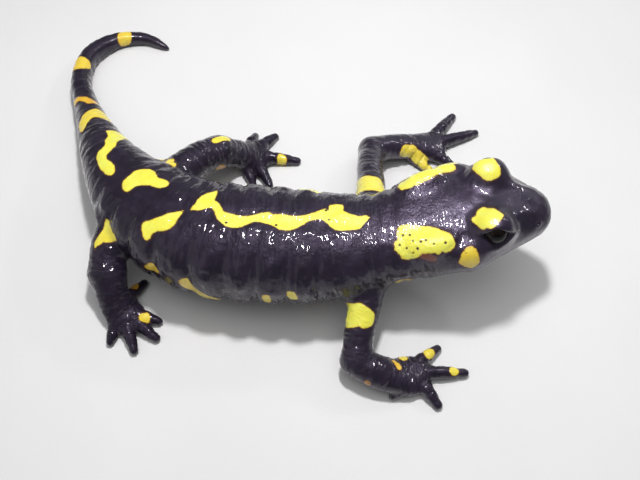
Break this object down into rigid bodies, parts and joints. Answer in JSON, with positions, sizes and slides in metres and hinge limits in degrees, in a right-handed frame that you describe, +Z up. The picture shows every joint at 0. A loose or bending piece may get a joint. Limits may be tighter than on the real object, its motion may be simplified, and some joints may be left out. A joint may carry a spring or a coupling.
{
  "type": "fire salamander",
  "caption": "Life-size still model of a fire salamander with a raised head, spread walking legs and a curled tail, glossy black with yellow markings, for display.",
  "frame": {"origin": "centre of the bounding box at floor level, under the trunk", "axes": "+X the way the head points, +Y to the animal's left, +Z up from the floor"},
  "size_m": [0.108, 0.1008, 0.0285],
  "materials": {
    "skin": "wet gloss, purplish black with lemon-yellow patches",
    "eye": "mirror-smooth wet black"
  },
  "bodies": {
    "root": {"head": "skin", "lower_jaw": "skin", "neck": "skin", "trunk_front": "skin", "trunk_rear": "skin", "tail_1": "skin", "tail_2": "skin", "tail_3": "skin", "tail_4": "skin", "eye_left": "eye", "eye_right": "eye", "upper_arm_right": "skin", "forearm_right": "skin", "hand_right": "skin", "upper_arm_left": "skin", "forearm_left": "skin", "hand_left": "skin", "thigh_left": "skin", "shank_left": "skin", "foot_left": "skin", "thigh_right": "skin", "shank_right": "skin", "foot_right": "skin"}
  },
  "joints": []
}
